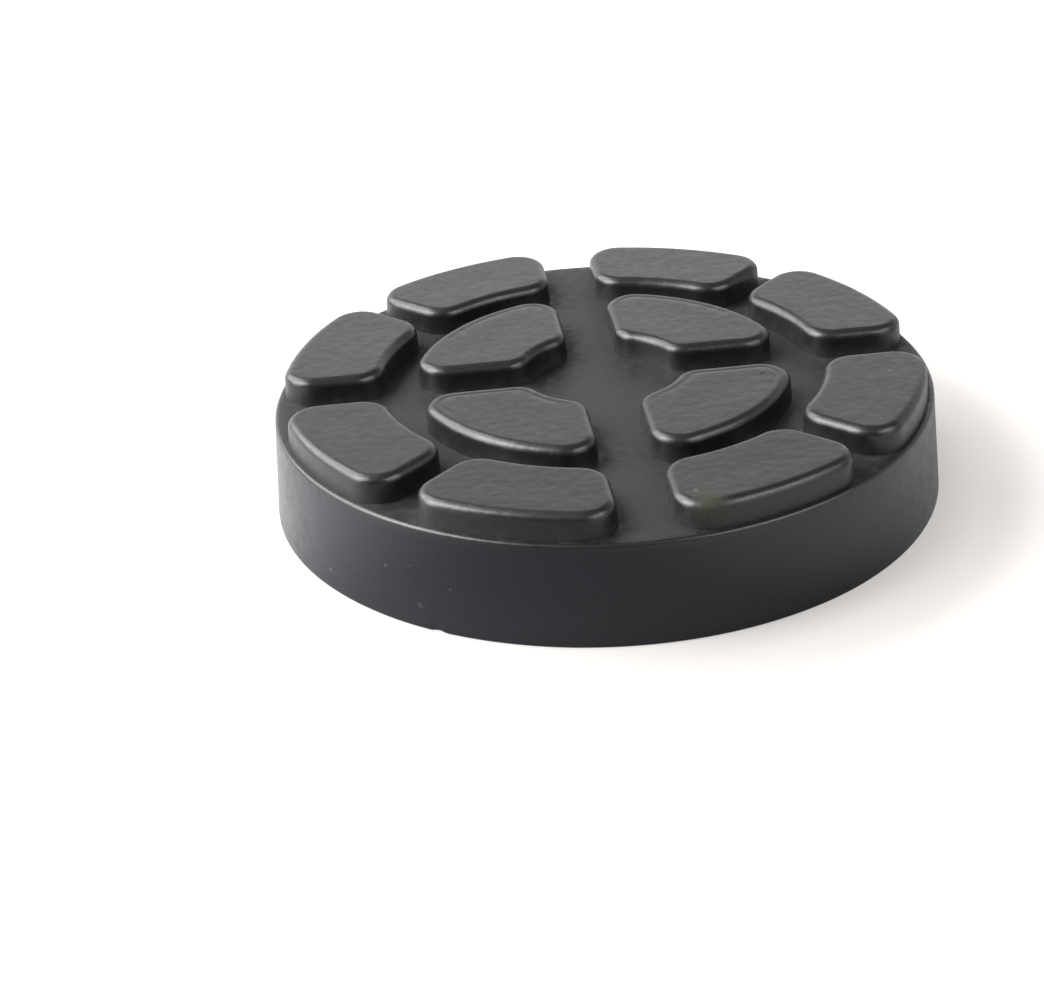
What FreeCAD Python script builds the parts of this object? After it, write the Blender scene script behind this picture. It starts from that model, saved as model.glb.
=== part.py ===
import FreeCAD, Part
import math
import os

from dataclasses import dataclass
from FreeCAD import Vector

# Slip-on rubber pad for the round plate at the end of a vehicle lift arm.
# One moulding: a flat round deck, a plain skirt that reaches down around the plate,
# and twelve rounded lugs on top that carry the vehicle. Millimetres and degrees.
# The origin is the middle of the skirt's foot, +Z is up, and the two wide
# channels between the lugs run along X and Y.

# Recess that slips over the lift plate
PLATE_DIAMETER = 103.0
RECESS_DEPTH = 10.8
RECESS_CORNER_BEVEL = 1.0
RECESS_MOUTH_BEVEL = 1.0

# Skirt and deck
SKIRT_WALL = 8.5
SKIRT_FLARE = 1.15
DECK_THICKNESS = 8.0
RIM_BEVEL = 0.5
FOOT_BEVEL = 0.5

# Lugs, measured at the top of their walls, where the rounding of the top edge starts
LUG_HEIGHT = 4.9
LUG_DRAFT_ANGLE = 3.0
LUG_EDGE_RADIUS = 1.7
LUG_EDGE_BANDS = 3
RIM_LEDGE = 1.3
OUTER_LUG_LENGTH = 18.5
RING_CHANNEL_WIDTH = 5.5
CENTRE_DIAMETER = 28.8
MAIN_CHANNEL_WIDTH = 9.2
DIAGONAL_CHANNEL_WIDTH = 5.0
OUTER_LUG_CORNER_RADIUS = 5.8
INNER_LUG_CORNER_RADIUS = 4.8
INNER_LUG_SHOULDER_RADIUS = 5.5

# Most of a lug's length that a corner takes, and most of a height or ledge that an edge takes
LARGEST_CORNER_SHARE = 0.45
LARGEST_EDGE_SHARE = 0.6

QUARTER_TURN = 90.0
QUADRANTS = 4

# Places worked out from the sizes above
recess_radius = PLATE_DIAMETER / 2
rim_radius = recess_radius + SKIRT_WALL
foot_radius = rim_radius + SKIRT_FLARE
deck_top = RECESS_DEPTH + DECK_THICKNESS
lug_top = deck_top + LUG_HEIGHT
lug_edge = min(LUG_EDGE_RADIUS, LARGEST_EDGE_SHARE * LUG_HEIGHT)
lug_lean = (LUG_HEIGHT - lug_edge) * math.tan(math.radians(LUG_DRAFT_ANGLE))
outer_lug_end = rim_radius - RIM_LEDGE
outer_lug_start = outer_lug_end - OUTER_LUG_LENGTH
inner_lug_end = outer_lug_start - RING_CHANNEL_WIDTH
inner_lug_start = CENTRE_DIAMETER / 2

origin = Vector(0, 0, 0)
upward = Vector(0, 0, 1)


@dataclass(frozen=True)
class LugPlan:
    """A sector of a ring, from +X round by its sweep, between two channels through the middle."""

    start: float
    end: float
    sweep: float
    low_channel: float
    high_channel: float
    near_corner: float
    far_corner: float


INNER_LUG = LugPlan(
    start=inner_lug_start,
    end=inner_lug_end,
    sweep=QUARTER_TURN,
    low_channel=MAIN_CHANNEL_WIDTH,
    high_channel=MAIN_CHANNEL_WIDTH,
    near_corner=INNER_LUG_CORNER_RADIUS,
    far_corner=INNER_LUG_SHOULDER_RADIUS,
)
OUTER_LUG = LugPlan(
    start=outer_lug_start,
    end=outer_lug_end,
    sweep=QUARTER_TURN / 2,
    low_channel=MAIN_CHANNEL_WIDTH,
    high_channel=DIAGONAL_CHANNEL_WIDTH,
    near_corner=OUTER_LUG_CORNER_RADIUS,
    far_corner=OUTER_LUG_CORNER_RADIUS,
)


def deck_and_skirt():
    """Revolved body: solid deck, flared skirt and the recess for the lift plate."""
    rim_bevel = min(RIM_BEVEL, LARGEST_EDGE_SHARE * (RIM_LEDGE - lug_lean))
    profile = [
        Vector(recess_radius + RECESS_MOUTH_BEVEL, 0, 0),
        Vector(foot_radius - FOOT_BEVEL, 0, 0),
        Vector(foot_radius, 0, FOOT_BEVEL),
        Vector(rim_radius, 0, deck_top - rim_bevel),
        Vector(rim_radius - rim_bevel, 0, deck_top),
        Vector(0, 0, deck_top),
        Vector(0, 0, RECESS_DEPTH),
        Vector(recess_radius - RECESS_CORNER_BEVEL, 0, RECESS_DEPTH),
        Vector(recess_radius, 0, RECESS_DEPTH - RECESS_CORNER_BEVEL),
        Vector(recess_radius, 0, RECESS_MOUTH_BEVEL),
    ]
    section = Part.Face(Part.makePolygon(profile + profile[:1]))
    return section.revolve(origin, upward, QUADRANTS * QUARTER_TURN)


def at_angle(radius, angle, height):
    """Point at a distance and an angle in degrees around the pad's axis."""
    turn = math.radians(angle)
    return Vector(radius * math.cos(turn), radius * math.sin(turn), height)


def arc(centre, radius, start, end):
    """Arc in the level plane of its centre, counter-clockwise between two angles in degrees."""
    circle = Part.Circle(centre, upward, radius)
    return circle.toShape(math.radians(start), math.radians(end))


def line_between(first, second):
    """Straight edge from the end of one arc to the start of another."""
    return Part.makeLine(first.lastVertex().Point, second.firstVertex().Point)


def angle_from_channel(channel_width, corner_radius, centre_radius):
    """Angle between a channel's middle line and the centre of a corner that touches its wall."""
    return math.degrees(math.asin((channel_width / 2 + corner_radius) / centre_radius))


def lug_outline(plan, height, grown=0.0):
    """Plan outline of a lug: two ring arcs, two channel walls and four rounded corners.

    An outline that is grown or inset keeps every arc's centre and angles, so what joins it
    to the plain one is made of true planes and cones.
    """
    largest_corner = LARGEST_CORNER_SHARE * (plan.end - plan.start)
    near = min(plan.near_corner, largest_corner)
    far = min(plan.far_corner, largest_corner)
    near_centre = plan.start + near
    far_centre = plan.end - far
    low_near = angle_from_channel(plan.low_channel, near, near_centre)
    low_far = angle_from_channel(plan.low_channel, far, far_centre)
    high_near = plan.sweep - angle_from_channel(plan.high_channel, near, near_centre)
    high_far = plan.sweep - angle_from_channel(plan.high_channel, far, far_centre)
    low_wall = -QUARTER_TURN
    high_wall = plan.sweep + QUARTER_TURN
    half_turn = 2 * QUARTER_TURN

    middle = Vector(0, 0, height)
    low_far_corner = arc(at_angle(far_centre, low_far, height), far + grown, low_wall, low_far)
    far_arc = arc(middle, plan.end + grown, low_far, high_far)
    high_far_corner = arc(at_angle(far_centre, high_far, height), far + grown, high_far, high_wall)
    high_near_corner = arc(
        at_angle(near_centre, high_near, height), near + grown, high_wall, high_near + half_turn
    )
    near_arc = arc(middle, plan.start - grown, low_near, high_near)
    low_near_corner = arc(
        at_angle(near_centre, low_near, height), near + grown, low_near - half_turn, low_wall
    )
    return Part.Wire([
        low_far_corner,
        far_arc,
        high_far_corner,
        line_between(high_far_corner, high_near_corner),
        high_near_corner,
        near_arc,
        low_near_corner,
        line_between(low_near_corner, low_far_corner),
    ])


def lug(plan):
    """One lug: walls that lean out to the deck, and a top edge rounded in narrow flat bands."""
    outlines = [lug_outline(plan, deck_top, grown=lug_lean)]
    for band in range(LUG_EDGE_BANDS + 1):
        turn = math.radians(QUARTER_TURN * band / LUG_EDGE_BANDS)
        inset = lug_edge * (1 - math.cos(turn))
        below_top = lug_edge * (1 - math.sin(turn))
        outlines.append(lug_outline(plan, lug_top - below_top, grown=-inset))
    return Part.makeLoft(outlines, True, True)


def lug_pattern():
    """All lugs: an inner lug, an outer lug and its mirror image in each quadrant."""
    outer_lug = lug(OUTER_LUG)
    mirrored_outer_lug = outer_lug.mirror(origin, Vector(0, 1, 0))
    quadrant_lugs = [lug(INNER_LUG), outer_lug, mirrored_outer_lug]
    lugs = []
    for number in range(QUADRANTS):
        for quadrant_lug in quadrant_lugs:
            turned = quadrant_lug.copy()
            turned.rotate(origin, upward, number * QUARTER_TURN)
            lugs.append(turned)
    return lugs


def rubber_pad():
    """The whole moulding as one solid."""
    moulding = deck_and_skirt().multiFuse(lug_pattern()).removeSplitter()
    return moulding.Solids[0]


pad = rubber_pad()
os.makedirs("parts", exist_ok=True)
pad.exportStep("parts/rubber_pad.step")
print("rubber_pad valid:", pad.isValid(), "volume in cubic millimetres:", round(pad.Volume, 1))
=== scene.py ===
"""Slip-on rubber pad for the round plate of a vehicle lift arm.

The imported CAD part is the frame. The moulding is built again here as one closed skin with
true roundings, dressed as matte moulded rubber, and set on a pale floor under soft lamps.
Blender's lengths are metres. The sizes below are millimetres, as a mould maker reads them.
"""

import logging
import math
from dataclasses import dataclass, field
from enum import Enum
from typing import Sequence

import bmesh
import bpy
import numpy as np
from mathutils import Matrix, Vector, noise
from mathutils.geometry import delaunay_2d_cdt


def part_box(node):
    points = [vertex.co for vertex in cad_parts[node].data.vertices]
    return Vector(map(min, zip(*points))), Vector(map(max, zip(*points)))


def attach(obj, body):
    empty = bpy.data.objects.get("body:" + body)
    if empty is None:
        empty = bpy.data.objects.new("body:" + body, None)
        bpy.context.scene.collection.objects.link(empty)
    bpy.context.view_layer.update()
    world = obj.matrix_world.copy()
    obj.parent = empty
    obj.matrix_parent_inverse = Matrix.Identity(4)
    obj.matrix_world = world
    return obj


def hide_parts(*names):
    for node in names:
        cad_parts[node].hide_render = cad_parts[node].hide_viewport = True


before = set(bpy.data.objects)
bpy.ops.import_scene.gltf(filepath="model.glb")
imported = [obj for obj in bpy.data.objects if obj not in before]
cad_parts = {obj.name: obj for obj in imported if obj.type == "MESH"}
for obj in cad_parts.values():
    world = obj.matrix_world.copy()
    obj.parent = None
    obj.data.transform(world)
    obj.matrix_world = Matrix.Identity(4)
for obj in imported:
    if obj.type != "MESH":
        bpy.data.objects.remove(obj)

MILLIMETRE = 0.001
QUARTER_TURN = 90.0
QUARTER_TURN_RADIANS = math.radians(QUARTER_TURN)
HALF_TURN = 180.0
QUADRANTS = 4
FAR_AWAY = 1e6
EQUAL_TRIANGLE_HEIGHT = math.sqrt(0.75)
NOISE_MIDDLE = 0.5
WHITE = (1.0, 1.0, 1.0)

# Places of the colour sockets on Blender's mix node, whose names they share with plain values
MIX_FIRST_COLOUR = 6
MIX_SECOND_COLOUR = 7
MIX_RESULT_COLOUR = 2

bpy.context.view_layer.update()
report = logging.getLogger("rubber_pad")

Ring = list[Vector]
TurnedRing = tuple[float, float, float]
Colour = tuple[float, float, float]
Socket = bpy.types.NodeSocket


def at_angle(radius: float, angle: float, height: float = 0.0) -> Vector:
    """Finds a point round the pad's axis, its angle in degrees counter-clockwise from +X."""
    turn = math.radians(angle)
    return Vector((radius * math.cos(turn), radius * math.sin(turn), height))


def arc(centre: Vector, radius: float, start: float, end: float, steps: int) -> Ring:
    """Walks along a level arc in equal steps, from one angle in degrees to another."""
    turns = (start + (end - start) * step / steps for step in range(steps + 1))
    return [centre + at_angle(radius, turn) for turn in turns]


def smooth_step(value: float) -> float:
    """Eases a share from 0 to 1, and holds it there."""
    share = min(max(value, 0.0), 1.0)
    return share * share * (3.0 - 2.0 * share)


def placed_object(name: str, data: bpy.types.ID) -> bpy.types.Object:
    """Makes an object and adds it to the scene.

    Args:
        name: the object's name.
        data: its mesh, light or camera.

    Returns:
        The object.
    """
    made = bpy.data.objects.new(name, data)
    bpy.context.scene.collection.objects.link(made)
    return made


class LugKind(Enum):
    """The three lugs of each quadrant."""

    INNER = "inner"
    OUTER = "outer"
    MIRRORED_OUTER = "mirrored_outer"


@dataclass(frozen=True)
class LugPlan:
    """A sector of a ring, from +X round by its sweep, between two channels through the middle."""

    start: float
    end: float
    sweep: float
    low_channel: float
    high_channel: float
    near_corner: float
    far_corner: float
    corner_steps: int = 14
    wall_steps: int = 8
    far_steps: int = 30
    near_steps: int = 14
    closed_gap: float = 0.01

    def corner_angle(self, channel: float, corner: float, centre_radius: float) -> float:
        """Finds the angle from a channel's middle to the centre of a corner on its wall."""
        return math.degrees(math.asin((channel / 2 + corner) / centre_radius))

    def outline(self, grown: float, height: float) -> Ring:
        """Draws the lug's plan, which keeps every arc's centre when it grows or shrinks.

        Args:
            grown: how far outside the plain plan the line runs.
            height: level of the line.

        Returns:
            The closed line's points, counter-clockwise, the first not repeated.
        """
        near_centre = self.start + self.near_corner
        far_centre = self.end - self.far_corner
        low_near = self.corner_angle(self.low_channel, self.near_corner, near_centre)
        low_far = self.corner_angle(self.low_channel, self.far_corner, far_centre)
        high_near = self.sweep - self.corner_angle(self.high_channel, self.near_corner, near_centre)
        high_far = self.sweep - self.corner_angle(self.high_channel, self.far_corner, far_centre)
        near = self.near_corner + grown
        far = self.far_corner + grown
        low_wall = -QUARTER_TURN
        high_wall = self.sweep + QUARTER_TURN
        middle = Vector((0.0, 0.0, height))
        corner = self.corner_steps
        runs = [
            arc(at_angle(far_centre, low_far, height), far, low_wall, low_far, corner),
            arc(middle, self.end + grown, low_far, high_far, self.far_steps),
            arc(at_angle(far_centre, high_far, height), far, high_far, high_wall, corner),
            arc(at_angle(near_centre, high_near, height), near, high_wall, high_near + HALF_TURN, corner),
            arc(middle, self.start - grown, high_near, low_near, self.near_steps),
            arc(at_angle(near_centre, low_near, height), near, low_near - HALF_TURN, low_wall, corner),
        ]
        line: Ring = []
        for run, following in zip(runs, runs[1:] + runs[:1]):
            line.extend(run)
            last = run[-1]
            gap = following[0] - last
            if gap.length < self.closed_gap:
                line.pop()
                continue
            for step in range(1, self.wall_steps):
                line.append(last + gap * (step / self.wall_steps))
        return line


@dataclass
class SkinDraft:
    """Points and faces of the closed skin before they are joined, in millimetres."""

    points: Ring = field(default_factory=list)
    faces: list[tuple[int, ...]] = field(default_factory=list)
    wear: list[float] = field(default_factory=list)
    crevice: list[float] = field(default_factory=list)
    joint_gap: float = 0.002
    crisp_angle: float = 55.0
    grid_clearance: float = 0.55
    dish_run: float = 6.0
    same_place: float = 1e-7

    def add_points(self, points: Ring, wear: float, crevice: float) -> int:
        """Adds points with the same wear and the same closeness to a crevice.

        Args:
            points: the new points.
            wear: 0 on a plain surface, 1 on an edge that is rubbed.
            crevice: 0 in the open, 1 where dust settles.

        Returns:
            The number of the first of them.
        """
        first = len(self.points)
        self.points.extend(points)
        self.wear.extend([wear] * len(points))
        self.crevice.extend([crevice] * len(points))
        return first

    def add_rings(self, rings: Sequence[Ring], wear: Sequence[float], crevice: Sequence[float]) -> None:
        """Joins closed rings that have as many points as each other with four-sided faces.

        Args:
            rings: the rings, in order.
            wear: the wear on each ring.
            crevice: how close each ring is to a crevice.
        """
        count = len(rings[0])
        firsts = [
            self.add_points(ring, ring_wear, ring_crevice)
            for ring, ring_wear, ring_crevice in zip(rings, wear, crevice)
        ]
        for low, high in zip(firsts, firsts[1:]):
            for place in range(count):
                following = (place + 1) % count
                self.faces.append((low + place, low + following, high + following, high + place))

    def add_patch(
        self,
        outline: Ring,
        holes: Sequence[Ring],
        spacing: float,
        crevice_floor: float = 0.0,
        crevice_reach: float = 1.0,
        dish: float = 0.0,
    ) -> None:
        """Fills a level outline round its holes with even triangles.

        Args:
            outline: the outer line.
            holes: closed lines that stay open.
            spacing: distance between the points of the even grid.
            crevice_floor: least closeness to a crevice, in the open between the holes.
            crevice_reach: how far from a hole the crevice at a lug's foot is felt.
            dish: how far the middle sinks below the outline.
        """
        loops = [outline, *holes]
        height = outline[0].z
        grid = self.even_grid(outline, spacing)
        gaps = [self.distance_to(grid, loop) for loop in loops]
        nearest = np.min(gaps, axis=0)
        kept = nearest > spacing * self.grid_clearance
        grid = grid[kept]
        rim_gap = gaps[0][kept]
        hole_gap = np.min(gaps[1:], axis=0)[kept] if holes else np.full(len(grid), FAR_AWAY)
        flat = [Vector((point.x, point.y)) for loop in loops for point in loop]
        flat.extend(Vector(place) for place in grid.tolist())
        loop_faces: list[list[int]] = []
        outline_points = 0
        for loop in loops:
            loop_faces.append(list(range(outline_points, outline_points + len(loop))))
            outline_points += len(loop)
        places, _, triangles, origins, _, parents = delaunay_2d_cdt(
            flat, [], loop_faces, 0, self.same_place, True
        )
        start = len(self.points)
        for place, origin in zip(places, origins):
            number = origin[0] - outline_points if origin else -1
            sunk = 0.0
            closeness = crevice_floor
            if number >= 0:
                sunk = dish * smooth_step(float(rim_gap[number]) / (self.dish_run * spacing))
                open_share = smooth_step(float(hole_gap[number]) / crevice_reach)
                closeness = 1.0 - (1.0 - crevice_floor) * open_share if holes else 0.0
            self.add_points([Vector((place.x, place.y, height - sunk))], 0.0, closeness)
        for triangle, parent in zip(triangles, parents):
            if list(parent) == [0]:
                self.faces.append(tuple(start + corner for corner in triangle))

    def even_grid(self, outline: Ring, spacing: float) -> np.ndarray:
        """Lays a grid of equal triangles over an outline's box.

        Args:
            outline: the line that the grid covers.
            spacing: length of the triangles' sides.

        Returns:
            The grid's points inside the outline, one row each.
        """
        line = np.array([point.xy for point in outline])
        low = line.min(axis=0)
        high = line.max(axis=0)
        row_gap = spacing * EQUAL_TRIANGLE_HEIGHT
        rows = np.arange(low[1], high[1], row_gap)
        columns = np.arange(low[0], high[0], spacing)
        across, along = np.meshgrid(columns, rows)
        across = across + (np.arange(len(rows)) % 2)[:, None] * spacing / 2
        grid = np.stack([across.ravel(), along.ravel()], axis=1)
        following = np.roll(line, -1, axis=0)
        crossings = np.zeros(len(grid), dtype=int)
        for start, end in zip(line, following):
            spans = (start[1] > grid[:, 1]) != (end[1] > grid[:, 1])
            rise = end[1] - start[1] if end[1] != start[1] else 1.0
            reach = start[0] + (grid[:, 1] - start[1]) * (end[0] - start[0]) / rise
            crossings += spans & (grid[:, 0] < reach)
        return grid[crossings % 2 == 1]

    def distance_to(self, grid: np.ndarray, loop: Ring) -> np.ndarray:
        """Measures how far each point of a grid is from a closed line.

        Args:
            grid: the points, one row each.
            loop: the line.

        Returns:
            One distance for each point.
        """
        line = np.array([point.xy for point in loop])
        nearest = np.full(len(grid), FAR_AWAY)
        for start, end in zip(line, np.roll(line, -1, axis=0)):
            run = end - start
            share = np.clip((grid - start) @ run / (run @ run), 0.0, 1.0)
            gap = np.linalg.norm(grid - start - share[:, None] * run, axis=1)
            nearest = np.minimum(nearest, gap)
        return nearest

    def to_object(self, name: str) -> bpy.types.Object:
        """Joins the parts into one closed skin.

        Args:
            name: the piece's name.

        Returns:
            The piece, still in millimetres.
        """
        skin = bmesh.new()
        wear = skin.verts.layers.float.new("edge_wear")
        crevice = skin.verts.layers.float.new("crevice")
        corners = []
        for point, point_wear, point_crevice in zip(self.points, self.wear, self.crevice):
            corner = skin.verts.new(point)
            corner[wear] = point_wear
            corner[crevice] = point_crevice
            corners.append(corner)
        for face in self.faces:
            skin.faces.new([corners[number] for number in face])
        bmesh.ops.remove_doubles(skin, verts=skin.verts, dist=self.joint_gap)
        loose = [corner for corner in skin.verts if not corner.link_faces]
        bmesh.ops.delete(skin, geom=loose, context="VERTS")
        bmesh.ops.recalc_face_normals(skin, faces=skin.faces)
        for face in skin.faces:
            face.smooth = True
        for edge in skin.edges:
            edge.smooth = edge.calc_face_angle(0.0) < math.radians(self.crisp_angle)
        open_edges = sum(1 for edge in skin.edges if not edge.is_manifold)
        report.info("%s: %d faces, %d open edges", name, len(skin.faces), open_edges)
        mesh = bpy.data.meshes.new(name)
        skin.to_mesh(mesh)
        skin.free()
        return placed_object(name, mesh)


@dataclass(frozen=True)
class SectionCorner:
    """A corner of the section that is turned round the pad's axis."""

    radius: float
    height: float
    rounding: float = 0.0
    wear: float = 0.0

    @property
    def place(self) -> Vector:
        """The corner as a point of the section."""
        return Vector((self.radius, self.height))


@dataclass(frozen=True)
class DeckAndSkirt:
    """Round deck, the flared skirt round the lift plate, and the recess that slips over it."""

    recess_radius: float = 51.5
    recess_depth: float = 10.8
    recess_corner: float = 1.0
    mouth_bevel: float = 1.0
    mouth_rounding: float = 0.3
    skirt_wall: float = 8.5
    skirt_flare: float = 1.15
    deck_thickness: float = 8.0
    rim_rounding: float = 0.7
    foot_rounding: float = 0.5
    rim_wear: float = 0.8
    foot_wear: float = 0.7
    mouth_wear: float = 0.4
    segments: int = 480
    rounding_steps: int = 6
    longest_run: float = 1.6
    deck_spacing: float = 1.25
    ceiling_spacing: float = 2.5
    deck_crevice: float = 0.6
    crevice_reach: float = 2.5

    @property
    def rim_radius(self) -> float:
        """Radius of the deck's edge before it is rounded."""
        return self.recess_radius + self.skirt_wall

    @property
    def foot_radius(self) -> float:
        """Largest radius of the pad."""
        return self.rim_radius + self.skirt_flare

    @property
    def deck_top(self) -> float:
        """Height of the deck above the floor."""
        return self.recess_depth + self.deck_thickness

    def profile(self) -> list[TurnedRing]:
        """Walks the turned section from the deck's edge, down the skirt and up into the recess.

        Returns:
            Radius, height and wear of each ring.
        """
        mouth_radius = self.recess_radius + self.mouth_bevel
        corners = [
            SectionCorner(self.rim_radius - 2 * self.rim_rounding, self.deck_top),
            SectionCorner(self.rim_radius, self.deck_top, self.rim_rounding, self.rim_wear),
            SectionCorner(self.foot_radius, 0.0, self.foot_rounding, self.foot_wear),
            SectionCorner(mouth_radius, 0.0, self.mouth_rounding, self.mouth_wear),
            SectionCorner(self.recess_radius, self.mouth_bevel, self.mouth_rounding, self.mouth_wear),
            SectionCorner(self.recess_radius, self.recess_depth, self.recess_corner),
            SectionCorner(self.recess_radius - 2 * self.recess_corner, self.recess_depth),
        ]
        rings: list[TurnedRing] = []
        for before, corner, after in zip(corners, corners[1:], corners[2:]):
            for place, wear in self.rounded(before, corner, after):
                self.walk_to(rings, place, wear)
        self.walk_to(rings, corners[-1].place, 0.0)
        return rings

    def rounded(
        self, before: SectionCorner, corner: SectionCorner, after: SectionCorner
    ) -> list[tuple[Vector, float]]:
        """Rounds a corner of the section.

        Args:
            before: the corner before it.
            corner: the corner itself.
            after: the corner after it.

        Returns:
            The rounding's points, each with its wear.
        """
        place = corner.place
        back = (before.place - place).normalized()
        onward = (after.place - place).normalized()
        half_angle = back.angle(onward) / 2
        middle = place + (back + onward).normalized() * (corner.rounding / math.sin(half_angle))
        start = place + back * (corner.rounding / math.tan(half_angle)) - middle
        end = place + onward * (corner.rounding / math.tan(half_angle)) - middle
        sweep = start.angle_signed(end)
        points = []
        for step in range(self.rounding_steps + 1):
            share = step / self.rounding_steps
            spoke = Matrix.Rotation(-sweep * share, 2) @ start
            points.append((middle + spoke, corner.wear * math.sin(math.pi * share)))
        return points

    def walk_to(self, rings: list[TurnedRing], place: Vector, wear: float) -> None:
        """Adds a ring, and plain rings before it where the run to it is long.

        Args:
            rings: the rings so far, which grow.
            place: radius and height of the new ring.
            wear: its wear.
        """
        if rings:
            last = Vector(rings[-1][:2])
            runs = math.ceil((place - last).length / self.longest_run)
            for run in range(1, runs):
                between = last.lerp(place, run / runs)
                rings.append((between.x, between.y, 0.0))
        rings.append((place.x, place.y, wear))

    def ring(self, radius: float, height: float) -> Ring:
        """Draws a full circle of points at a height."""
        step = 2 * HALF_TURN / self.segments
        return [at_angle(radius, step * number, height) for number in range(self.segments)]

    def build(self, draft: SkinDraft, lug_feet: Sequence[Ring]) -> None:
        """Adds the deck round the lugs' feet, the skirt and the recess.

        Args:
            draft: the skin that they are added to.
            lug_feet: the lines where the lugs stand on the deck.
        """
        profile = self.profile()
        rings = [self.ring(radius, height) for radius, height, _ in profile]
        wear = [ring_wear for _, _, ring_wear in profile]
        draft.add_rings(rings, wear, [0.0] * len(rings))
        draft.add_patch(rings[0], lug_feet, self.deck_spacing, self.deck_crevice, self.crevice_reach)
        draft.add_patch(rings[-1], [], self.ceiling_spacing)


@dataclass(frozen=True)
class TopRing:
    """A ring on a lug's flat top, inside its rounded edge."""

    inset: float
    wear: float = 0.0
    creased: bool = False


@dataclass(frozen=True)
class LugPattern:
    """Twelve rounded lugs: an inner one and two outer ones in each quadrant."""

    deck_top: float
    rim_radius: float
    lug_height: float = 4.9
    draft_angle: float = 3.0
    edge_radius: float = 1.7
    rim_ledge: float = 1.3
    outer_length: float = 18.5
    ring_channel: float = 5.5
    centre_diameter: float = 28.8
    main_channel: float = 9.2
    diagonal_channel: float = 5.0
    outer_corner: float = 5.8
    inner_corner: float = 4.8
    inner_shoulder: float = 5.5
    wall_steps: int = 6
    edge_steps: int = 12
    foot_crevice: float = 0.7
    wall_crevice: float = 0.3
    top_rings: tuple[TopRing, ...] = (
        TopRing(0.5, wear=0.3),
        TopRing(0.75, wear=0.1, creased=True),
        TopRing(0.95, creased=True),
        TopRing(1.2),
    )
    top_spacing: float = 1.2
    top_drop: float = 0.004
    top_dish: float = 0.04
    crease_depth: float = 0.035
    crease_reach: float = 4.0

    def plan(self, kind: LugKind) -> LugPlan:
        """Lays out one kind of lug.

        Args:
            kind: which lug of the quadrant.

        Returns:
            Its plan, before it is mirrored or turned.
        """
        outer_end = self.rim_radius - self.rim_ledge
        outer_start = outer_end - self.outer_length
        if kind is LugKind.INNER:
            return LugPlan(
                start=self.centre_diameter / 2,
                end=outer_start - self.ring_channel,
                sweep=QUARTER_TURN,
                low_channel=self.main_channel,
                high_channel=self.main_channel,
                near_corner=self.inner_corner,
                far_corner=self.inner_shoulder,
            )
        return LugPlan(
            start=outer_start,
            end=outer_end,
            sweep=QUARTER_TURN / 2,
            low_channel=self.main_channel,
            high_channel=self.diagonal_channel,
            near_corner=self.outer_corner,
            far_corner=self.outer_corner,
        )

    def section(self) -> list[tuple[float, float, float, float]]:
        """Walks the lug's edge from the deck to its top.

        Returns:
            How far outside the plan each ring runs, its height, its wear and its crevice.
        """
        lean = math.radians(self.draft_angle)
        lug_top = self.deck_top + self.lug_height
        wall_top = lug_top - self.edge_radius
        foot_grown = (wall_top - self.deck_top) * math.tan(lean)
        rings = []
        for step in range(self.wall_steps):
            share = step / self.wall_steps
            height = self.deck_top + (wall_top - self.deck_top) * share
            crevice = self.foot_crevice * (1 - share) ** 3 + self.wall_crevice * (1 - share)
            rings.append((foot_grown * (1 - share), height, 0.0, crevice))
        edge_middle = -self.edge_radius / math.cos(lean)
        for step in range(self.edge_steps + 1):
            turn = lean + (QUARTER_TURN_RADIANS - lean) * step / self.edge_steps
            grown = edge_middle + self.edge_radius * math.cos(turn)
            height = wall_top + self.edge_radius * math.sin(turn)
            rings.append((grown, height, math.sin(turn) ** 2, 0.0))
        for ring in self.top_rings:
            rings.append((edge_middle - ring.inset, lug_top - self.top_drop, ring.wear, 0.0))
        return rings

    def crease(self, rings: list[Ring]) -> None:
        """Presses a faint crease inside the back edge of an inner lug's top.

        Args:
            rings: the lug's rings, which end with those on its top.
        """
        middle = sum(point.y for point in rings[-1]) / len(rings[-1])
        for top_ring, ring in zip(self.top_rings, rings[-len(self.top_rings):]):
            if not top_ring.creased:
                continue
            for point in ring:
                share = smooth_step((point.y - middle) / self.crease_reach)
                point.z -= self.crease_depth * share

    def placed(self, ring: Ring, kind: LugKind, quadrant: int) -> Ring:
        """Mirrors a ring where its lug is a mirror image, and turns it to its quadrant.

        Args:
            ring: the ring as its plan draws it.
            kind: which lug of the quadrant.
            quadrant: 0 to 3, counter-clockwise.

        Returns:
            The ring in its place.
        """
        turn = Matrix.Rotation(math.radians(QUARTER_TURN * quadrant), 3, "Z")
        if kind is LugKind.MIRRORED_OUTER:
            mirror = Matrix.Diagonal((1.0, -1.0, 1.0))
            ring = [mirror @ point for point in reversed(ring)]
        return [turn @ point for point in ring]

    def build(self, draft: SkinDraft) -> list[Ring]:
        """Adds all twelve lugs.

        Args:
            draft: the skin that they are added to.

        Returns:
            The lines where they stand on the deck.
        """
        section = self.section()
        wear = [ring_wear for _, _, ring_wear, _ in section]
        crevice = [ring_crevice for _, _, _, ring_crevice in section]
        feet: list[Ring] = []
        for kind in LugKind:
            plan = self.plan(kind)
            drawn = [plan.outline(grown, height) for grown, height, _, _ in section]
            for quadrant in range(QUADRANTS):
                rings = [self.placed(ring, kind, quadrant) for ring in drawn]
                if kind is LugKind.INNER:
                    self.crease(rings)
                draft.add_rings(rings, wear, crevice)
                draft.add_patch(rings[-1], [], self.top_spacing, dish=self.top_dish)
                feet.append(rings[0])
        return feet


@dataclass(frozen=True)
class Grain:
    """Noise with grains of a real size in millimetres, finer layers, and how strong those are."""

    size: float
    detail: float = 2.0
    contrast: float = 0.5


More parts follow.
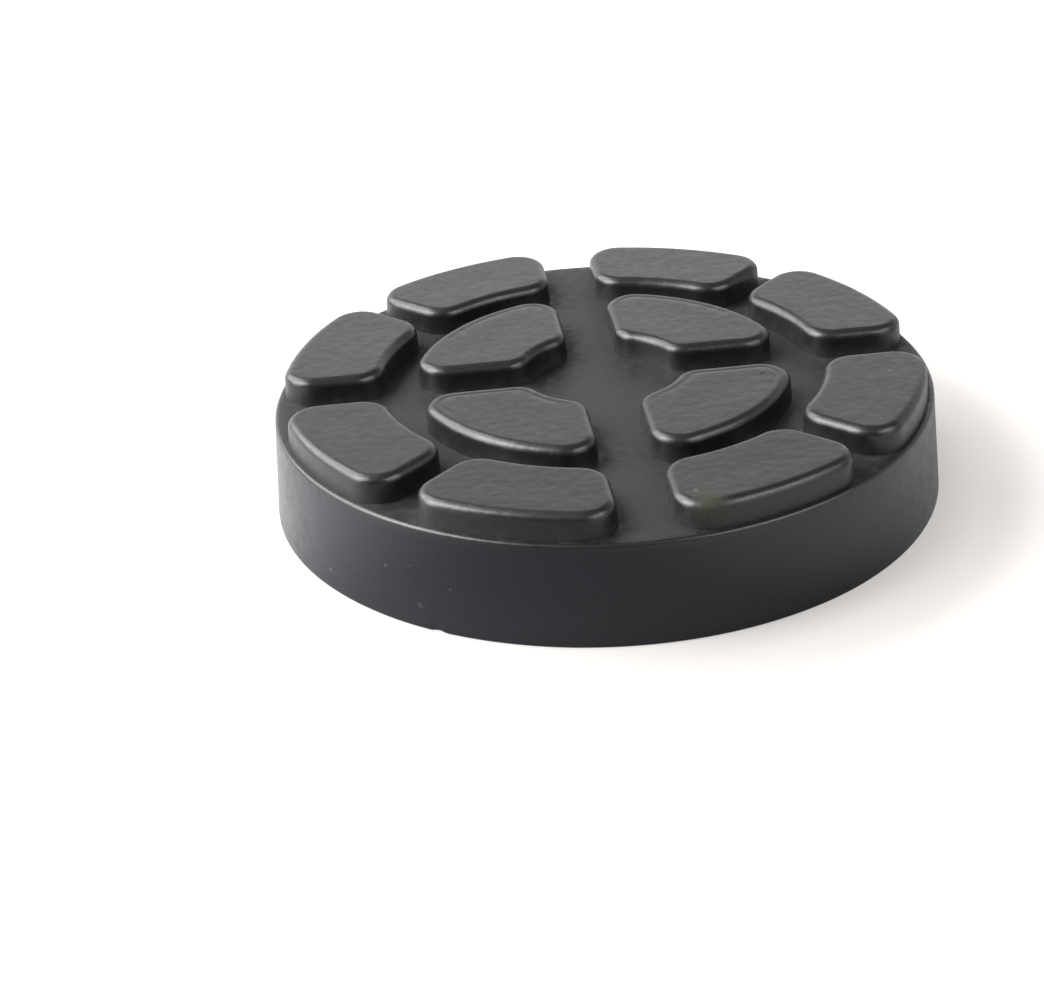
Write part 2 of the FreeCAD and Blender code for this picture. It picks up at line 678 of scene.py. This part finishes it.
class NodePen:
    """Writes nodes into a material or a world and joins them."""

    def __init__(self, tree: bpy.types.NodeTree) -> None:
        """Takes the tree that the nodes go into, and clears it."""
        self.tree = tree
        tree.nodes.clear()

    def node(
        self, kind: str, feeds: dict[object, object] | None = None, **settings: object
    ) -> bpy.types.Node:
        """Adds a node.

        Args:
            kind: Blender's name of the node type.
            feeds: what goes into its inputs, by the input's name or place.
            settings: properties of the node.

        Returns:
            The new node.
        """
        made = self.tree.nodes.new(kind)
        for name, value in settings.items():
            setattr(made, name, value)
        for name, value in (feeds or {}).items():
            self.feed(made.inputs[name], value)
        return made

    def feed(self, target: Socket, value: object) -> None:
        """Joins a socket to an input, or writes a plain value into it.

        Args:
            target: the input.
            value: a socket, or a value that suits the input.
        """
        if isinstance(value, Socket):
            self.tree.links.new(value, target)
        else:
            target.default_value = value

    def split(self, coordinates: Socket) -> dict[str, Socket]:
        """Parts coordinates into X, Y and Z."""
        return dict(self.node("ShaderNodeSeparateXYZ", {"Vector": coordinates}).outputs.items())

    def maths(self, operation: str, first: object, second: object) -> Socket:
        """Works out one value from two sockets or numbers, by Blender's name of the sum."""
        return self.node("ShaderNodeMath", {0: first, 1: second}, operation=operation).outputs[0]

    def plus(self, first: object, second: object) -> Socket:
        """Adds two values."""
        return self.maths("ADD", first, second)

    def minus(self, first: object, second: object) -> Socket:
        """Takes the second value from the first."""
        return self.maths("SUBTRACT", first, second)

    def times(self, first: object, second: object) -> Socket:
        """Multiplies two values."""
        return self.maths("MULTIPLY", first, second)

    def larger(self, first: object, second: object) -> Socket:
        """Picks the larger of two values."""
        return self.maths("MAXIMUM", first, second)

    def ramp(
        self, value: object, low: float, high: float, to_low: float = 0.0, to_high: float = 1.0
    ) -> Socket:
        """Stretches the range from low to high smoothly onto another, and holds its ends."""
        feeds = dict(enumerate((value, low, high, to_low, to_high)))
        return self.node("ShaderNodeMapRange", feeds, interpolation_type="SMOOTHSTEP").outputs[0]

    def blend(self, share: object, first: object, second: object) -> Socket:
        """Mixes two colours.

        Args:
            share: how much of the second colour shows.
            first: a socket or a colour.
            second: a socket or a colour.

        Returns:
            The mixed colour's socket.
        """
        made = self.node("ShaderNodeMix", {"Factor": share}, data_type="RGBA")
        for place, colour in ((MIX_FIRST_COLOUR, first), (MIX_SECOND_COLOUR, second)):
            if not isinstance(colour, Socket):
                colour = (*colour, 1.0)
            self.feed(made.inputs[place], colour)
        return made.outputs[MIX_RESULT_COLOUR]

    def noise(self, coordinates: object, grain: Grain) -> bpy.types.Node:
        """Adds noise, read at coordinates in metres, with values about the middle of 0 and 1."""
        feeds = {
            "Vector": coordinates,
            "Scale": 1.0 / (grain.size * MILLIMETRE),
            "Detail": grain.detail,
            "Roughness": grain.contrast,
        }
        return self.node("ShaderNodeTexNoise", feeds)

    def warped(self, coordinates: object, grain: Grain, reach: float) -> Socket:
        """Shifts coordinates by noise, so that a mark's outline is ragged.

        Args:
            coordinates: where the noise is read, in metres.
            grain: the noise's grains.
            reach: how far apart the largest shifts lie in millimetres.

        Returns:
            The shifted coordinates' socket.
        """
        shift = self.noise(coordinates, grain).outputs["Color"]
        feeds = {0: shift, 1: [NOISE_MIDDLE] * 3}
        centred = self.node("ShaderNodeVectorMath", feeds, operation="SUBTRACT").outputs[0]
        feeds = {0: centred, 1: [reach * MILLIMETRE] * 3, 2: coordinates}
        return self.node("ShaderNodeVectorMath", feeds, operation="MULTIPLY_ADD").outputs[0]

    def specks(self, coordinates: object, apart: float, radius: float, core: float) -> Socket:
        """Scatters round specks.

        Args:
            coordinates: where the specks are read, in metres.
            apart: mean distance between them in millimetres.
            radius: a speck's radius as a share of that distance.
            core: share of the radius where the speck is at its full strength.

        Returns:
            A socket that is 1 in a speck and 0 outside.
        """
        feeds = {"Vector": coordinates, "Scale": 1.0 / (apart * MILLIMETRE)}
        made = self.node("ShaderNodeTexVoronoi", feeds)
        return self.ramp(made.outputs["Distance"], radius, radius * core)

    def background(self, plain: object, mirrored: object) -> Socket:
        """Gives the rays that see the plain background their brightness.

        Args:
            plain: brightness that the camera and glass see.
            mirrored: brightness that gloss sees.

        Returns:
            The brightness's socket, 0 for every other ray.
        """
        path = self.node("ShaderNodeLightPath")
        seen = self.larger(path.outputs["Is Camera Ray"], path.outputs["Is Transmission Ray"])
        glossy = self.times(path.outputs["Is Glossy Ray"], mirrored)
        return self.larger(self.times(seen, plain), glossy)

    def near(self, coordinates: object, place: Vector, radius: float, soft: float) -> Socket:
        """Marks the surroundings of one place.

        Args:
            coordinates: where the mark is read, in metres.
            place: its middle in millimetres.
            radius: its outer radius in millimetres.
            soft: share of the radius over which it fades.

        Returns:
            A socket that is 1 in the mark and 0 outside.
        """
        feeds = {0: coordinates, 1: place * MILLIMETRE}
        made = self.node("ShaderNodeVectorMath", feeds, operation="DISTANCE")
        reach = radius * MILLIMETRE
        return self.ramp(made.outputs["Value"], reach, reach * (1.0 - soft))


@dataclass(frozen=True)
class Fade:
    """A level that changes smoothly between two plain values, or two places in millimetres."""

    start: float
    end: float
    start_level: float = 0.0
    end_level: float = 1.0

    def of(self, pen: NodePen, value: Socket) -> Socket:
        """Reads the level of a plain value."""
        return pen.ramp(value, self.start, self.end, self.start_level, self.end_level)

    def along(self, pen: NodePen, distance: Socket) -> Socket:
        """Reads the level along a distance in metres."""
        ends = (self.start * MILLIMETRE, self.end * MILLIMETRE)
        return pen.ramp(distance, *ends, self.start_level, self.end_level)


@dataclass(frozen=True)
class Mark:
    """One small stain or speck on the pad."""

    place: tuple[float, float, float]
    radius: float
    colour: Colour
    strength: float
    soft: float = 0.7
    dulling: float = 0.0


@dataclass(frozen=True)
class MouldedRubber:
    """Matte black rubber as it leaves the mould, finely grained and a little dusty."""

    name: str = "moulded_rubber_matte"
    body: Colour = (0.0168, 0.0171, 0.0182)
    bloom: Colour = (0.0232, 0.0214, 0.0206)
    deep: Colour = (0.012, 0.0122, 0.0128)
    dust: Colour = (0.06, 0.0585, 0.055)
    rubbed: Colour = (0.024, 0.0236, 0.0232)
    # Bluish colour on the skirt below the deck: a painted cool cast of the light on the skirt.
    skirt: Colour = (0.0160, 0.0154, 0.0270)
    skirt_cover: Fade = Fade(18.0, 17.0, 0.0, 0.8)
    clouds: Grain = Grain(16.0, detail=3.0)
    mottle: Grain = Grain(2.0)
    grain: Grain = Grain(0.42, detail=3.0, contrast=0.6)
    ragged: Grain = Grain(0.9)
    ragged_reach: float = 0.9
    bloom_in_clouds: Fade = Fade(0.35, 0.68)
    deep_in_mottle: Fade = Fade(0.52, 0.74, 0.0, 0.55)
    dust_in_mottle: Fade = Fade(0.42, 0.68, 0.0, 0.34)
    rubbing_in_grain: Fade = Fade(0.35, 0.75, 0.25, 0.8)
    marks_in_grain: Fade = Fade(0.38, 0.58, 0.25, 1.0)
    specks_in_clouds: Fade = Fade(0.42, 0.6)
    specks_apart: float = 4.5
    speck_radius: float = 0.05
    speck_core: float = 0.4
    speck_cover: float = 0.8
    roughness: Fade = Fade(0.3, 0.75, 0.3, 0.37)
    dust_roughness: float = 0.25
    crevice_roughness: float = 0.33
    specular: float = 0.48
    skin_depth: float = 0.09
    skin_strength: float = 0.7
    skirt_smoothing: float = 0.6
    grain_depth: float = 0.01
    grain_strength: float = 0.8
    marks: tuple[Mark, ...] = (
        Mark((10.4, -57.6, 23.2), radius=4.2, colour=(0.046, 0.043, 0.018), strength=0.9, dulling=0.3),
        Mark((9.4, -54.6, 23.7), radius=2.6, colour=(0.050, 0.047, 0.026), strength=0.5, dulling=0.1),
        Mark((8.5, -52.6, 23.6), radius=0.7, colour=(0.20, 0.19, 0.16), strength=0.6),
        Mark((50.2, -13.8, 23.6), radius=0.55, colour=(0.16, 0.155, 0.15), strength=0.7),
        Mark((27.7, -9.9, 23.6), radius=0.8, colour=(0.010, 0.010, 0.010), strength=0.9, dulling=0.35),
        Mark((-52.6, -30.7, 3.7), radius=0.55, colour=(0.15, 0.15, 0.16), strength=0.7),
        Mark((-43.2, -42.4, 9.9), radius=0.42, colour=(0.12, 0.12, 0.13), strength=0.6),
        Mark((-39.1, -46.1, 11.4), radius=0.44, colour=(0.12, 0.12, 0.13), strength=0.6),
        Mark((-38.1, -47.5, 4.4), radius=0.68, colour=(0.13, 0.13, 0.14), strength=0.65),
        Mark((-33.0, -50.9, 8.6), radius=0.46, colour=(0.12, 0.12, 0.13), strength=0.6),
    )

    def material(self) -> bpy.types.Material:
        """Makes the rubber.

        Returns:
            The material.
        """
        made = bpy.data.materials.new(self.name)
        made.use_nodes = True
        pen = NodePen(made.node_tree)
        place = pen.node("ShaderNodeTexCoord").outputs["Object"]
        wear = pen.node("ShaderNodeAttribute", attribute_name="edge_wear").outputs["Fac"]
        crevice = pen.node("ShaderNodeAttribute", attribute_name="crevice").outputs["Fac"]
        clouds = pen.noise(place, self.clouds).outputs["Fac"]
        mottle = pen.noise(place, self.mottle).outputs["Fac"]
        grain = pen.noise(place, self.grain).outputs["Fac"]

        on_skirt = self.skirt_cover.along(pen, pen.split(place)["Z"])
        dust = pen.times(crevice, self.dust_in_mottle.of(pen, mottle))
        rubbing = pen.times(wear, self.rubbing_in_grain.of(pen, grain))
        specks = pen.specks(place, self.specks_apart, self.speck_radius, self.speck_core)
        specks = pen.times(specks, self.specks_in_clouds.of(pen, clouds))
        colour = pen.blend(self.bloom_in_clouds.of(pen, clouds), self.body, self.bloom)
        # Painted cool cast: the skirt takes the bluish colour.
        colour = pen.blend(on_skirt, colour, self.skirt)
        colour = pen.blend(self.deep_in_mottle.of(pen, mottle), colour, self.deep)
        colour = pen.blend(dust, colour, self.dust)
        colour = pen.blend(rubbing, colour, self.rubbed)
        colour = pen.blend(pen.times(specks, self.speck_cover), colour, self.dust)

        roughness = self.roughness.of(pen, mottle)
        ragged = pen.warped(place, self.ragged, self.ragged_reach)
        broken = self.marks_in_grain.of(pen, grain)
        for mark in self.marks:
            cover = pen.near(ragged, Vector(mark.place), mark.radius, mark.soft)
            strength = pen.times(pen.times(cover, broken), mark.strength)
            colour = pen.blend(strength, colour, mark.colour)
            if mark.dulling:
                roughness = pen.plus(roughness, pen.times(cover, mark.dulling))
        roughness = pen.plus(roughness, pen.times(dust, self.dust_roughness))
        roughness = pen.plus(roughness, pen.times(crevice, self.crevice_roughness))

        smoothing = pen.times(on_skirt, self.skirt_smoothing)
        skin = {
            "Distance": self.skin_depth * MILLIMETRE,
            "Strength": pen.minus(self.skin_strength, smoothing),
            "Height": mottle,
        }
        fine = {
            "Distance": self.grain_depth * MILLIMETRE,
            "Strength": self.grain_strength,
            "Height": grain,
            "Normal": pen.node("ShaderNodeBump", skin).outputs["Normal"],
        }
        surface = {
            "Base Color": colour,
            "Roughness": roughness,
            "Specular IOR Level": self.specular,
            "Normal": pen.node("ShaderNodeBump", fine).outputs["Normal"],
        }
        rubber = pen.node("ShaderNodeBsdfPrincipled", surface)
        pen.node("ShaderNodeOutputMaterial", {"Surface": rubber.outputs["BSDF"]})
        return made


@dataclass
class RubberPad:
    """The whole moulding: deck, skirt, recess and lugs in one skin."""

    name: str = "rubber_pad_moulding"
    node: str = "rubber_pad"
    body: str = "root"
    deck_and_skirt: DeckAndSkirt = field(default_factory=DeckAndSkirt)
    finish: MouldedRubber = field(default_factory=MouldedRubber)
    long_wave: float = 22.0
    long_swell: float = 0.035
    short_wave: float = 6.0
    short_swell: float = 0.012
    nick_place: tuple[float, float, float] = (-35.5, -49.8, 0.4)
    nick_reach: float = 1.6
    nick_depth: float = 0.4
    swell_sunk: float = 0.5

    def build(self) -> bpy.types.Object:
        """Builds and dresses the moulding, and puts it in the CAD solid's place.

        Returns:
            The piece.
        """
        draft = SkinDraft()
        base = self.deck_and_skirt
        pattern = LugPattern(deck_top=base.deck_top, rim_radius=base.rim_radius)
        feet = pattern.build(draft)
        base.build(draft, feet)
        piece = draft.to_object(self.name)
        self.season(piece.data, base.deck_top + pattern.lug_height)
        piece.data.materials.append(self.finish.material())
        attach(piece, self.body)
        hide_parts(self.node)
        self.compare(piece)
        return piece

    def season(self, mesh: bpy.types.Mesh, top: float) -> None:
        """Gives the skin rubber's slight swell and a nick in its foot, and turns it into metres.

        Args:
            mesh: the skin, in millimetres.
            top: height that nothing rises above.
        """
        mesh.update()
        largest = self.deck_and_skirt.foot_radius
        normals = [vertex.normal.copy() for vertex in mesh.vertices]
        for vertex, normal in zip(mesh.vertices, normals):
            place = vertex.co.copy()
            swell = self.long_swell * noise.noise(place / self.long_wave)
            swell += self.short_swell * noise.noise(place / self.short_wave)
            nick = (place - Vector(self.nick_place)).length / self.nick_reach
            swell -= self.nick_depth * (1.0 - smooth_step(nick))
            place += normal * (swell - self.long_swell * self.swell_sunk)
            outward = math.hypot(place.x, place.y)
            if outward > largest:
                place.xy = place.xy * (largest / outward)
            place.z = min(max(place.z, 0.0), top)
            vertex.co = place * MILLIMETRE
        mesh.update()

    def compare(self, piece: bpy.types.Object) -> None:
        """Reports the piece's size beside the CAD solid's."""
        low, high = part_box(self.node)
        report.info(
            "%s: %s mm, CAD solid %s mm",
            piece.name,
            [round(side / MILLIMETRE, 2) for side in piece.dimensions],
            [round(side / MILLIMETRE, 2) for side in high - low],
        )


@dataclass(frozen=True)
class SoftLamp:
    """A soft box round the pad that faces it, sizes in metres, white where its brightness is 1."""

    name: str
    azimuth: float
    elevation: float
    distance: float
    width: float
    height: float
    brightness: float
    gloss_only: bool = False

    def build(self) -> bpy.types.Object:
        """Sets up the lamp.

        Returns:
            The lamp.
        """
        light = bpy.data.lights.new(self.name, "AREA")
        light.shape = "RECTANGLE"
        light.size = self.width
        light.size_y = self.height
        light.energy = self.brightness * math.pi * self.width * self.height
        lamp = placed_object(self.name, light)
        level = math.cos(math.radians(self.elevation))
        toward = at_angle(level, self.azimuth, math.sin(math.radians(self.elevation)))
        lamp.location = toward * self.distance
        lamp.rotation_euler = toward.to_track_quat("Z", "Y").to_euler()
        lamp.visible_camera = False
        lamp.visible_diffuse = not self.gloss_only
        return lamp


@dataclass(frozen=True)
class Floor:
    """Pale floor, which reaches a few metres: white to the camera with a painted shadow at the pad's foot
    on the right, and dimmer to gloss.
    """

    name: str = "studio_floor"
    reach: float = 3.0
    colour: Colour = (0.42, 0.416, 0.409)
    # Warm colour of the glow that the camera sees; it shows only in the shadow, where it paints the
    # shadow's warm tint.
    painted_shadow_tint: Colour = (1.0, 0.965, 0.94)
    glow: float = 0.662
    # The glow that the camera sees paints the shadow's shape: lowered at the foot on the right side as a
    # painted shadow, and lifted beyond the shadow.
    glow_beyond_shadow: Fade = Fade(74.0, 84.0, 0.0, 0.125)
    glow_far_off: Fade = Fade(90.0, 150.0, 0.0, 0.145)
    painted_shadow_at_foot: Fade = Fade(58.0, 71.0, 0.17, 0.0)
    painted_shadow_on_right: Fade = Fade(-10.0, 25.0, 0.0, 1.0)
    gloss_at_foot: Fade = Fade(63.0, 90.0, 0.19, 0.0)
    gloss_behind: Fade = Fade(-70.0, 60.0, 0.0, 0.28)
    gloss_at_left: Fade = Fade(20.0, 84.0, 0.0, 1.0)
    gloss_at_right: Fade = Fade(56.0, 98.0, 0.04, 0.7)
    most_gloss: float = 1.0
    left_slant: float = 0.6
    right_slant: float = 0.5

    def shown(self, pen: NodePen, outward: object, across: object) -> Socket:
        """Works out how bright the camera sees the floor glow, which paints the pad's shadow: lowered at
        the foot on the right, lifted beyond the shadow.

        Args:
            pen: writes the nodes.
            outward: distance from the pad's axis, in metres.
            across: distance to the right of it, in metres.

        Returns:
            The glow's socket.
        """
        beyond = self.glow_beyond_shadow.along(pen, outward)
        far_off = self.glow_far_off.along(pen, outward)
        # Painted shadow: the glow is lowered at the foot, on the right side only.
        at_foot = self.painted_shadow_at_foot.along(pen, outward)
        at_right = self.painted_shadow_on_right.along(pen, across)
        glow = pen.plus(pen.plus(beyond, far_off), self.glow)
        return pen.minus(glow, pen.times(at_foot, at_right))

    def mirrored(self, pen: NodePen, outward: object, across: object, back: object) -> Socket:
        """Works out how bright gloss sees the floor glow, never above white.

        Args:
            pen: writes the nodes.
            outward: distance from the pad's axis, in metres.
            across: distance to the right of it, in metres.
            back: distance behind it, in metres.

        Returns:
            The glow's socket.
        """
        leftward = pen.minus(pen.times(back, self.left_slant), across)
        rightward = pen.minus(across, pen.times(back, self.right_slant))
        at_left = self.gloss_at_left.along(pen, leftward)
        at_right = self.gloss_at_right.along(pen, rightward)
        around = pen.larger(pen.larger(at_left, at_right), self.gloss_behind.along(pen, back))
        level = pen.plus(around, self.gloss_at_foot.along(pen, outward))
        return pen.maths("MINIMUM", level, self.most_gloss)

    def material(self) -> bpy.types.Material:
        """Makes the floor's paint.

        Returns:
            The material.
        """
        made = bpy.data.materials.new("pale_floor")
        made.use_nodes = True
        pen = NodePen(made.node_tree)
        place = pen.node("ShaderNodeTexCoord").outputs["Object"]
        outward = pen.node("ShaderNodeVectorMath", {0: place}, operation="LENGTH").outputs["Value"]
        sides = pen.split(place)
        shown = self.shown(pen, outward, sides["X"])
        mirrored = self.mirrored(pen, outward, sides["X"], sides["Y"])
        to_camera = pen.node("ShaderNodeLightPath").outputs["Is Camera Ray"]
        # The camera sees the glow in the painted shadow's warm tint.
        light = {
            "Color": pen.blend(to_camera, WHITE, self.painted_shadow_tint),
            "Strength": pen.background(shown, mirrored),
        }
        glow = pen.node("ShaderNodeEmission", light).outputs["Emission"]
        paint = pen.node("ShaderNodeBsdfDiffuse", {"Color": (*self.colour, 1.0)}).outputs["BSDF"]
        both = pen.node("ShaderNodeAddShader", {0: paint, 1: glow})
        pen.node("ShaderNodeOutputMaterial", {"Surface": both.outputs["Shader"]})
        return made

    def build(self) -> bpy.types.Object:
        """Lays the floor.

        Returns:
            The floor.
        """
        reach = self.reach
        mesh = bpy.data.meshes.new(self.name)
        corners = [(-reach, -reach, 0), (reach, -reach, 0), (reach, reach, 0), (-reach, reach, 0)]
        mesh.from_pydata(corners, [], [(0, 1, 2, 3)])
        mesh.materials.append(self.material())
        floor = placed_object(self.name, mesh)
        return floor


@dataclass(frozen=True)
class Surroundings:
    """What stands round the pad: white low down to gloss, dimmer above, soft to all else.

    The fades run over a direction's X, Y or Z, which lies between -1 and 1.
    """

    ambient: float = 0.15
    white_low_down: Fade = Fade(0.44, 0.68, 1.0, 0.0)
    white_behind: Fade = Fade(-0.25, 0.15, 0.12, 1.0)
    ceiling: Fade = Fade(0.3, -0.5, 0.24, 0.6)
    ceiling_rise: Fade = Fade(0.3, 0.7)

    def build(self) -> bpy.types.World:
        """Makes the world.

        Returns:
            The world.
        """
        world = bpy.data.worlds.new("studio_surroundings")
        world.use_nodes = True
        pen = NodePen(world.node_tree)
        direction = pen.node("ShaderNodeTexCoord").outputs["Generated"]
        side = pen.split(direction)
        low = self.white_low_down.of(pen, side["Z"])
        behind = self.white_behind.of(pen, side["Y"])
        above = pen.times(self.ceiling.of(pen, side["X"]), self.ceiling_rise.of(pen, side["Z"]))
        seen = pen.background(1.0, pen.larger(pen.times(low, behind), above))
        to_diffuse = pen.node("ShaderNodeLightPath").outputs["Is Diffuse Ray"]
        soft = pen.times(to_diffuse, self.ambient)
        background = pen.node("ShaderNodeBackground", {"Strength": pen.larger(seen, soft)})
        pen.node("ShaderNodeOutputWorld", {"Surface": background.outputs["Background"]})
        bpy.context.scene.world = world
        return world


@dataclass(frozen=True)
class Studio:
    """Pale floor, pale surroundings and soft lamps."""

    floor: Floor = Floor()
    surroundings: Surroundings = Surroundings()
    lamps: tuple[SoftLamp, ...] = (
        SoftLamp(
            "key_lamp", azimuth=165.0, elevation=38.0, distance=0.8,
            width=1.04, height=0.74, brightness=6.6,
        ),
        SoftLamp(
            "left_card", azimuth=191.0, elevation=40.0, distance=0.78,
            width=0.50, height=0.36, brightness=9.5, gloss_only=True,
        ),
        SoftLamp(
            "low_left_card", azimuth=191.0, elevation=14.0, distance=0.8,
            width=0.50, height=0.32, brightness=3.0, gloss_only=True,
        ),
        SoftLamp(
            "right_card", azimuth=-38.0, elevation=40.0, distance=0.8,
            width=0.66, height=0.36, brightness=5.0, gloss_only=True,
        ),
        SoftLamp(
            "low_right_card", azimuth=-38.0, elevation=14.0, distance=0.8,
            width=0.66, height=0.32, brightness=1.6, gloss_only=True,
        ),
        SoftLamp(
            "back_card", azimuth=97.0, elevation=16.0, distance=1.2,
            width=2.00, height=0.50, brightness=0.7, gloss_only=True,
        ),
    )

    def build(self) -> None:
        """Sets up the floor, the surroundings and the lamps."""
        self.floor.build()
        self.surroundings.build()
        for lamp in self.lamps:
            lamp.build()
            report.info("%s: brightness %.1f", lamp.name, lamp.brightness)


@dataclass(frozen=True)
class ViewCamera:
    """The camera, where the picture was taken from."""

    azimuth: float = -4.539
    elevation: float = 27.277
    roll: float = -3.511
    distance: float = 478.6
    target: tuple[float, float, float] = (-15.930, 1.265, -2.821)
    lens: float = 88.25
    sensor: float = 36.0
    nearest: float = 10.0
    farthest: float = 20000.0

    def build(self) -> bpy.types.Object:
        """Sets up the camera and makes it the scene's own.

        Returns:
            The camera.
        """
        turn = math.radians(self.azimuth)
        rise = math.radians(self.elevation)
        lean = math.radians(self.roll)
        back = Vector(
            (math.sin(turn) * math.cos(rise), -math.cos(turn) * math.cos(rise), math.sin(rise))
        )
        level_right = Vector((math.cos(turn), math.sin(turn), 0.0))
        level_up = back.cross(level_right)
        right = level_right * math.cos(lean) + level_up * math.sin(lean)
        up = level_up * math.cos(lean) - level_right * math.sin(lean)
        data = bpy.data.cameras.new("view_camera")
        data.lens = self.lens
        data.sensor_width = self.sensor
        data.clip_start = self.nearest * MILLIMETRE
        data.clip_end = self.farthest * MILLIMETRE
        camera = placed_object("view_camera", data)
        frame_matrix = Matrix((right, up, back)).transposed().to_4x4()
        frame_matrix.translation = (Vector(self.target) + back * self.distance) * MILLIMETRE
        camera.matrix_world = frame_matrix
        bpy.context.scene.camera = camera
        return camera


def main() -> None:
    """Builds the pad, the studio and the camera in order, and reports each piece."""
    logging.basicConfig(level=logging.INFO, format="%(message)s")
    pad = RubberPad().build()
    report.info("%s rides on %s", pad.name, RubberPad.body)
    Studio().build()
    camera = ViewCamera().build()
    report.info("%s: lens %.2f mm", camera.name, camera.data.lens)
    bpy.context.scene.view_settings.view_transform = "Standard"


if __name__ == "__main__":
    main()
